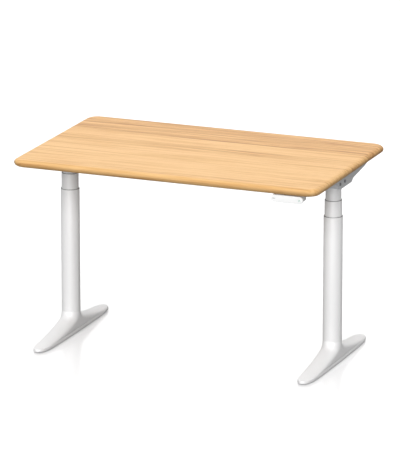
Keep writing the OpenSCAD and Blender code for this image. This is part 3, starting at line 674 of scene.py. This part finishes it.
def footOutline(look, grow, inset):
    # half length grows from the tube to the reach while the ends go from round to blunt
    angle = np.linspace(0, 2 * np.pi, look["ring"], endpoint=False)
    sine, cosine = np.sin(angle)[None], np.cos(angle)[None]
    grow, inset = np.array(grow, float)[:, None], np.array(inset, float)[:, None]
    blunt = 2 + look["blunt"] * grow ** 1.5
    taper = look["taper"] * grow ** 0.7
    reach = np.where(sine < 0, look["front"], look["rear"])
    width = (look["radius"] - inset) * (1 - taper * sine ** 2)
    width = width * np.sqrt(np.clip(1 - np.abs(sine) ** blunt, 0, 1))
    y = (look["radius"] + (reach - look["radius"]) * grow - inset) * sine
    return np.where(cosine < 0, -width, width), y


def makeFoot(side, sign, look):
    # underside, then a rounded rim, then the crest that sweeps up to the column
    turn = np.linspace(-np.pi / 2, 0, 6)[1:]
    rimIn = look["rimRun"] * (1 - np.cos(turn))
    rimZ = look["rim"] + (look["rim"] - look["lift"]) * np.sin(turn)
    over = np.linspace(0, np.pi / 2, 8)[1:]
    overIn = look["shoulder"] * (1 - np.cos(over))
    overZ = look["rim"] + (look["tip"] - look["rim"]) * 0.94 * np.sin(over)
    grow = np.linspace(1, 0, look["levels"]) ** 2
    share = (1 - look["fillet"]) * (1 - grow) ** 1.5 + look["fillet"] * np.exp(-grow / look["fade"])
    crest = look["tip"] + (look["collar"] - look["tip"]) * share
    grows = np.concatenate([[1], np.ones(5), np.ones(7), grow[1:], [0, 0]])
    insets = np.concatenate([[look["rimRun"]], rimIn, overIn, look["shoulder"] * grow[1:] ** 8,
                             [look["spigotIn"], look["spigotIn"]]])
    heights = np.concatenate([[look["lift"]], rimZ, overZ, crest[1:], [look["collar"], look["spigotTop"]]])
    width, y = footOutline(look, grows, insets)
    levels = np.broadcast_to(heights[:, None], width.shape)
    points = np.stack([sign * columnX + width, columnY + y, levels], -1)
    foot = surfacePiece(side + "Foot", points * mm, sharpAngle=60)
    holes = []
    for spot in (-look["boltSpread"], look["boltSpread"]):
        profile = np.array([(look["boltHole"], -1), (look["boltHole"], look["boltDepth"]),
                            (look["shankHole"], look["boltDepth"]), (look["shankHole"], look["well"] + 1)])
        holes.append(lathe("hole", profile * mm, (sign * columnX * mm, (columnY + spot) * mm), 48, False))
    well = np.array([(look["wellRadius"], look["well"]), (look["wellRadius"], look["spigotTop"] + 2)])
    holes.append(lathe("well", well * mm, (sign * columnX * mm, columnY * mm), 96, False))
    for end in ("front", "rear"):
        leveller = side + "_" + end + "_leveller"
        stem = [(look["stemHole"] * mm, 0), (look["stemHole"] * mm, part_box(leveller)[1].z + 1 * mm)]
        holes.append(lathe("stemHole", stem, (sign * columnX * mm, middleOf(leveller).y), 40, False))
    stand(cutOut(foot, holes), side + "_foot")


for side, sign in sides:
    makeFoot(side, sign, footLook)
print("feet made")

# tubes of the columns and the rings in their mouths
tubeLook = {"wall": 2, "edge": 0.7, "segments": 144, "lip": 1.4, "lipRound": 0.5, "boreGap": 0.05,
            "sleeveGap": 0.1}


def boxRadius(node):
    low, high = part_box(node)
    return (high.x - low.x) / 2


def makeTube(side, sign, stage, look):
    # upright tube whose four rims are eased with small curves
    node = side + "_" + stage + "_tube"
    low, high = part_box(node)
    outer = boxRadius(node)
    inner = outer - look["wall"] * mm
    corners = [(outer, low.z), (outer, high.z), (inner, high.z), (inner, low.z)]
    centre = (sign * columnX * mm, columnY * mm)
    tube = lathe(side + stage.capitalize() + "Tube", roundedLoop(corners, look["edge"] * mm, 4), centre,
                 look["segments"])
    stand(tube, node)


def makeGlide(side, sign, stage, inside, look):
    # guide ring: a thin sleeve in the gap with a rounded lip on the rim of the tube
    node = side + "_" + stage + "_glide"
    low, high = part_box(node)
    lip, step = boxRadius(node), high.z - look["lip"] * mm
    bore = boxRadius(side + "_" + inside + "_tube") + look["boreGap"] * mm
    sleeve = boxRadius(side + "_" + stage + "_tube") - (look["wall"] + look["sleeveGap"]) * mm
    corners = [(bore, low.z), (sleeve, low.z), (sleeve, step), (lip, step), (lip, high.z), (bore, high.z)]
    radii = np.array([0.2, 0.2, 0.05, 0.2, look["lipRound"], 0.3]) * mm
    ring = lathe(side + stage.capitalize() + "Glide", roundedLoop(corners, radii, 4),
                 (sign * columnX * mm, columnY * mm), look["segments"])
    stand(ring, node)


# lower guide: a sleeve with shallow grease grooves round it, at shares of its height
shoeLook = {"gap": 0.1, "grooves": (0.3, 0.7), "grooveDepth": 0.6, "grooveWidth": 0.035}


def makeShoe(side, sign, stage, look):
    node = side + "_" + stage + "_shoe"
    low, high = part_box(node)
    outer = boxRadius(node)
    inner = boxRadius(side + "_" + stage + "_tube") + look["gap"] * mm
    z = np.linspace(0, 1, 61)
    groove = sum(np.exp(-((z - at) / look["grooveWidth"]) ** 2) for at in look["grooves"])
    wall = np.stack([outer - look["grooveDepth"] * mm * groove, low.z + (high.z - low.z) * z], -1)
    profile = np.vstack([wall, [(inner, high.z), (inner, low.z)]])
    shoe = lathe(side + stage.capitalize() + "Shoe", profile, (sign * columnX * mm, columnY * mm), 96)
    stand(shoe, node)


for side, sign in sides:
    for stage in ("outer", "middle", "upper"):
        makeTube(side, sign, stage, tubeLook)
    makeGlide(side, sign, "outer", "middle", tubeLook)
    makeGlide(side, sign, "middle", "upper", tubeLook)
    makeShoe(side, sign, "middle", shoeLook)
    makeShoe(side, sign, "upper", shoeLook)
print("columns made")

# screws of the drive: lead in millimetres per turn, number of starts and depth of thread
threadLook = {"lead": 12, "starts": 3, "depth": 1.1, "sides": 48, "step": 0.5}
spindleLook = {"hollow": 10, "bore": 6.05, "head": 12, "headHeight": 8.7, "drive": 6, "driveDepth": 0.8,
               "collar": 9, "collarHeight": 1.2, "collarUnder": 1.5}


def threadRadius(height, angle, radius, look):
    # trapezoid thread: a clipped triangle wave of height over pitch less the turn
    phase = height / (look["lead"] * mm) * look["starts"] - angle / (2 * np.pi) * look["starts"]
    wave = np.abs((phase % 1.0) * 2 - 1)
    return radius - look["depth"] * mm * np.clip(wave * 2.6 - 0.8, 0, 1)


def threadedRod(name, centre, low, high, radius, bore, look):
    rows = int((high - low) / (look["step"] * mm)) + 1
    angle = np.linspace(0, 2 * np.pi, look["sides"], endpoint=False)[None]
    height = np.linspace(low, high, rows)[:, None]
    size = threadRadius(height, angle, radius, look)
    if bore:
        # the wall goes down the outside and back up through the bore
        height = np.vstack([height, [[high], [low]]])
        size = np.vstack([size, np.full((2, look["sides"]), bore)])
    points = np.stack([centre[0] + size * np.cos(angle), centre[1] + size * np.sin(angle),
                       np.broadcast_to(height, size.shape)], -1)
    return surfacePiece(name, points, bool(bore), 30)


def makeSpindles(side, sign, look, thread):
    centre = (sign * columnX * mm, columnY * mm)
    low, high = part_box(side + "_hollow_spindle")
    bore, headBottom = look["bore"] * mm, high.z - look["headHeight"] * mm
    rod = threadedRod("rod", centre, low.z, headBottom, look["hollow"] * mm, bore, thread)
    headRadius = look["head"] * mm
    corners = [(headRadius, headBottom), (headRadius, high.z), (bore, high.z), (bore, headBottom)]
    head = lathe("head", roundedLoop(corners, 0.5 * mm, 3), centre, 64)
    stand(joinPieces(side + "HollowSpindle", [rod, head]), side + "_hollow_spindle")
    low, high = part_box(side + "_drive_spindle")
    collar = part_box(side + "_gearbox")[0].z - look["collarUnder"] * mm
    drive, collarRadius = look["drive"] * mm, look["collar"] * mm
    rod = threadedRod("rod", centre, low.z, collar, drive, None, dict(thread, depth=look["driveDepth"]))
    collarTop = collar + look["collarHeight"] * mm
    corners = [(collarRadius, collar), (collarRadius, collarTop), (drive, collarTop), (drive, high.z)]
    neck = lathe("neck", corners, centre, 64, False)
    stand(joinPieces(side + "DriveSpindle", [rod, neck]), side + "_drive_spindle")


# motor: grooves and a crimp at shares of the can's height, then a bearing boss of steps of radius and rise
motorLook = {"grooves": (0.60, 0.66, 0.72, 0.78), "grooveDepth": 0.9, "crimp": 0.12, "crimpDepth": 0.7,
             "endRound": 1.5, "bossRise": 9, "boss": ((16, 0), (16, 5.5), (6, 5.8), (6, 8.6), (5.4, 9))}


def makeMotor(side, sign, look):
    low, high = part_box(side + "_motor")
    z = np.linspace(0, 1, 141)
    groove = sum(np.exp(-((z - at) / 0.012) ** 2) for at in look["grooves"])
    crimp = np.exp(-((z - look["crimp"]) / 0.015) ** 2)
    ends = look["endRound"] * (np.exp(-z / 0.012) + np.exp(-(1 - z) / 0.012))
    can = boxRadius(side + "_motor") - (look["grooveDepth"] * groove + look["crimpDepth"] * crimp + ends) * mm
    top = high.z - look["bossRise"] * mm
    boss = np.array(look["boss"]) * mm + (0, top)
    profile = np.vstack([np.stack([can, low.z + (top - low.z) * z], -1), boss])
    stand(lathe(side + "Motor", profile, (sign * columnX * mm, columnY * mm), 96, False), side + "_motor")


# nuts, posts and gearboxes: CAD shapes with their hard edges eased, in millimetres
innerEdges = {"nut_post": 0.5, "base_nut": 0.6, "carrier_tube": 0.4, "carrier_nut": 0.8, "gearbox": 0.9}
for side, sign in sides:
    makeSpindles(side, sign, spindleLook, threadLook)
    makeMotor(side, sign, motorLook)
    for node, width in innerEdges.items():
        name = side + node.title().replace("_", "")
        stand(softCopy(side + "_" + node, name, width * mm, 2), side + "_" + node)
print("drives made")

# brackets, crossbeam, screws and boxes: CAD shapes with their hard edges eased, in millimetres
easedNodes = {"left_bracket": 1.8, "right_bracket": 1.8, "crossbeam": 1.2, "bracket_bolts": 0.5,
              "bracket_screws": 0.7, "crossbeam_bolts": 0.6, "foot_bolts": 0.6, "box_screws": 0.5,
              "control_box_tray": 0.5, "control_box_cover": 0.7, "mains_inlet": 0.5, "control_board": 0.3,
              "handset_housing": 0.7, "handset_board": 0.2, "paddle_pin": 0.3, "status_light": 0.2}
for node, width in easedNodes.items():
    name = node.split("_")[0] + "".join(word.capitalize() for word in node.split("_")[1:])
    stand(softCopy(node, name, width * mm), node)
print("brackets, beam and boxes eased")

# leveller: rubber pad with a soft rim and four rings under it, on a threaded stem
levellerLook = {"padTop": 2.2, "ringHeight": 0.22, "ringRate": 42, "collar": 8, "collarTop": 2.6, "stem": 4,
                "stemFoot": 2.7}
levellerThread = {"lead": 1.25, "starts": 1, "depth": 0.45, "sides": 40, "step": 0.12}


def makeLeveller(side, sign, end, look):
    node = side + "_" + end + "_leveller"
    centre = (sign * columnX * mm, middleOf(node).y)
    pad = boxRadius(node) / mm
    under = np.linspace(0.1, 0.86, 40)
    rings = np.stack([pad * under, look["ringHeight"] * (1 + np.cos(under * look["ringRate"])) / 2], -1)
    rim = [(pad * 0.95, 0.1), (pad * 0.985, 0.5), (pad, 1.1), (pad * 0.985, 1.9),
           (pad * 0.94, look["padTop"])]
    collar = [(look["collar"], look["padTop"]), (look["collar"], look["collarTop"]),
              (look["stem"], look["stemFoot"])]
    foot = lathe("pad", np.vstack([rings, rim, collar]) * mm, centre, 96, False)
    stem = threadedRod("stem", centre, look["stemFoot"] * mm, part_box(node)[1].z, look["stem"] * mm, None,
                       levellerThread)
    stand(joinPieces(side + end.capitalize() + "Leveller", [foot, stem]), node)


for side, sign in sides:
    for end in ("front", "rear"):
        makeLeveller(side, sign, end, levellerLook)
print("levellers made")

# hand control: stadium face with a soft crown, round button at the right, status bar at the left
paddleLook = {"depth": 12, "edge": 2.4, "backEdge": 0.8, "crown": 0.5, "endSteps": 40, "sideSteps": 16,
              "lugHalf": 20, "lugRise": 5, "lugIn": 0.5, "boreRadius": 5.8, "boreDepth": 8, "front": 1,
              "slotGap": 0.1, "slotDepth": 1.6}


def stadiumPlan(halfLine, endSteps, sideSteps):
    # base line and outward direction round a bar with round ends, in x and z
    arc = np.linspace(-np.pi / 2, np.pi / 2, endSteps)
    out = np.stack([np.cos(arc), np.sin(arc)], -1)
    t = np.linspace(1, -1, sideSteps + 2)[1:-1]
    side = np.stack([t * halfLine, np.zeros(sideSteps)], -1)
    bases = [np.broadcast_to([halfLine, 0.0], out.shape), side,
             np.broadcast_to([-halfLine, 0.0], out.shape), -side]
    outs = [out, np.broadcast_to([0.0, 1.0], side.shape), -out, np.broadcast_to([0.0, -1.0], side.shape)]
    return np.vstack(bases), np.vstack(outs)


def makePaddle(look):
    low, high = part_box("paddle")
    radius = (high.z - low.z) / 2
    middle = middleOf("paddle")
    depth, crown = look["depth"] * mm, look["crown"] * mm
    base, out = stadiumPlan((high.x - low.x) / 2 - radius, look["endSteps"], look["sideSteps"])
    edge, backEdge = look["edge"] * mm, look["backEdge"] * mm
    face = np.linspace(0.04, 1, 14)
    turn = np.linspace(0, np.pi / 2, 9)[1:]
    back = np.linspace(0, np.pi / 2, 5)
    size = np.concatenate([face * (radius - edge), radius - edge + edge * np.sin(turn),
                           radius - backEdge * (1 - np.cos(back)), [0.5 * radius, 0.1 * radius]])
    y = np.concatenate([crown * face ** 2.2, crown + (edge * 0.9) * (1 - np.cos(turn)),
                        depth - backEdge + backEdge * np.sin(back), [depth, depth]])
    points = np.zeros((len(size), len(base), 3))
    points[..., 0] = middle.x + base[None, :, 0] + out[None, :, 0] * size[:, None]
    points[..., 1] = low.y + y[:, None]
    points[..., 2] = middle.z + out[None, :, 1] * size[:, None]
    paddle = surfacePiece("paddleShell", points)
    # a round bore for the button and a slot for the light bar are cut into the face
    cutFrom = low.y - look["front"] * mm
    bore = facingDisc("bore", (middleOf("paddle_button").x, middle.z), cutFrom,
                      [(look["boreRadius"], 0), (look["boreRadius"], look["boreDepth"])])
    barLow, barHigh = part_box("status_light")
    gap = look["slotGap"] * mm
    plan = [(barLow.x - gap, barLow.z - gap), (barHigh.x + gap, barLow.z - gap),
            (barHigh.x + gap, barHigh.z + gap), (barLow.x - gap, barHigh.z + gap)]
    slot = slabPiece("slot", roundedLoop(plan, 0.5 * mm, 4), (cutFrom, low.y + look["slotDepth"] * mm), 1)
    stand(cutOut(paddle, [bore, slot]), "paddle")
    lugFront, rise = low.y + depth - look["lugIn"] * mm, look["lugRise"] * mm
    plan = [(lugFront, middle.z - rise), (high.y, middle.z - rise), (high.y, middle.z + rise),
            (lugFront, middle.z + rise)]
    outline = roundedLoop(plan, np.array([0.2, 4.5, 4.5, 0.2]) * mm, 8)
    reach = look["lugHalf"] * mm
    addTo(slabPiece("paddleLug", outline, (middle.x - reach, middle.x + reach), 0), "paddle")


# button: dished cap, a pale ring round it and a raised arrow, in millimetres
buttonLook = {"radius": 5.5, "dish": 0.28, "rimIn": 0.12, "depth": 5.0, "ringOut": 4.4, "ringIn": 3.7,
              "ringDepth": 0.5, "markDepth": 0.6}


def makeButton(look):
    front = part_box("paddle_button")[0].y
    middle = middleOf("paddle_button")
    centre, radius = (middle.x, middle.z), look["radius"]
    share = np.linspace(0.02, 0.86, 14)
    dish = np.stack([radius * share, look["rimIn"] + look["dish"] * (1 - (share / 0.86) ** 2)], -1)
    rim = [(radius * 0.90, 0.10), (radius * 0.955, 0.18), (radius * 0.99, 0.45), (radius, 0.8),
           (radius, look["depth"])]
    stand(facingDisc("buttonCap", centre, front, np.vstack([dish, rim])), "paddle_button")
    ring = [(look["ringIn"], 0.02), (look["ringOut"], 0.02), (look["ringOut"], look["ringDepth"]),
            (look["ringIn"], look["ringDepth"])]
    band = facingDisc("buttonRing", centre, front, roundedLoop(ring, 0.12, 3), True)
    addTo(band, "paddle_button", "ring_green")
    arrow = roundedLoop([(0, 2.5), (-2.3, -0.3), (-0.95, -0.3), (-0.95, -2.4), (0.95, -2.4), (0.95, -0.3),
                         (2.3, -0.3)], 0.22, 4)
    mark = slabPiece("raiseArrow", np.array(centre) + arrow * mm, (front, front + look["markDepth"] * mm), 1)
    addTo(mark, "paddle_button", "raise_green")


makePaddle(paddleLook)
makeButton(buttonLook)
print("hand control made")

for node, item in frame["nodes"].items():
    coat(item, nodeSlot[node])

# white floor that runs past the horizon, pale surroundings and very soft suns
studio = {"floorSize": 260, "floorSeen": (0.78, 0.78, 0.785), "floorGiven": (0.36, 0.36, 0.362),
          "floorRough": 0.20, "shown": 0.19, "front": 0.30, "back": 0.68, "lean": (-0.25, 0.7, 0.7),
          "leanGain": 1.3}
softSuns = [
    {"name": "key", "azimuth": 12, "elevation": 22, "angle": 34, "power": 2.6},
    {"name": "top", "azimuth": 20, "elevation": 66, "angle": 50, "power": 0.85},
    {"name": "rear", "azimuth": 202, "elevation": 15, "angle": 50, "power": 0.65},
]


def makeFloor(look):
    half = look["floorSize"] / 2
    mesh = bpy.data.meshes.new("floor")
    corners = [(-half, -half, 0), (half, -half, 0), (half, half, 0), (-half, half, 0)]
    mesh.from_pydata(corners, [], [(0, 1, 2, 3)])
    floor = addObject("floor", mesh)
    material, tree, shader = newMaterial("floorPale")
    shader.inputs["Roughness"].default_value = look["floorRough"]
    shader.inputs["Specular IOR Level"].default_value = 0.3
    shader.inputs["Emission Color"].default_value = (1, 1, 1, 1)
    # the floor shows brighter than the light it gives back to the desk
    seen = tree.nodes.new("ShaderNodeLightPath").outputs["Is Camera Ray"]
    tree.links.new(mixColour(tree, seen, look["floorGiven"], look["floorSeen"]), shader.inputs["Base Color"])
    tree.links.new(addMath(tree, "MULTIPLY", seen, look["shown"]), shader.inputs["Emission Strength"])
    # clear from below, so that the underside of the desk can be looked at
    under = tree.nodes.new("ShaderNodeNewGeometry").outputs["Backfacing"]
    tree.links.new(addMath(tree, "SUBTRACT", 1.0, under), shader.inputs["Alpha"])
    mesh.materials.append(material)


def makeSky(look):
    # grey in front of the desk, turning bright behind and above it
    world = bpy.data.worlds.new("studio")
    world.use_nodes = True
    tree = world.node_tree
    way = tree.nodes.new("ShaderNodeSeparateXYZ")
    tree.links.new(tree.nodes.new("ShaderNodeTexCoord").outputs["Generated"], way.inputs[0])
    lean = 0.0
    for direction, share in zip(way.outputs, look["lean"]):
        lean = addMath(tree, "ADD", addMath(tree, "MULTIPLY", direction, share), lean)
    lean = addMath(tree, "MULTIPLY", lean, look["leanGain"], True)
    level = addSteps(tree, lean, ("MULTIPLY", look["back"] - look["front"]), ("ADD", look["front"]))
    background = tree.nodes["Background"]
    background.inputs["Color"].default_value = (1, 1, 1, 1)
    tree.links.new(level, background.inputs["Strength"])
    scene.world = world


def makeSuns(suns):
    for sun in suns:
        lamp = bpy.data.lights.new(sun["name"], "SUN")
        lamp.energy = sun["power"]
        lamp.angle = math.radians(sun["angle"])
        item = addObject(sun["name"], lamp)
        toward = -viewFrom(sun["azimuth"], sun["elevation"])
        item.rotation_euler = toward.to_track_quat("-Z", "Y").to_euler()


makeFloor(studio)
makeSky(studio)
makeSuns(softSuns)
scene.view_settings.view_transform = "Standard"
print("studio lit")
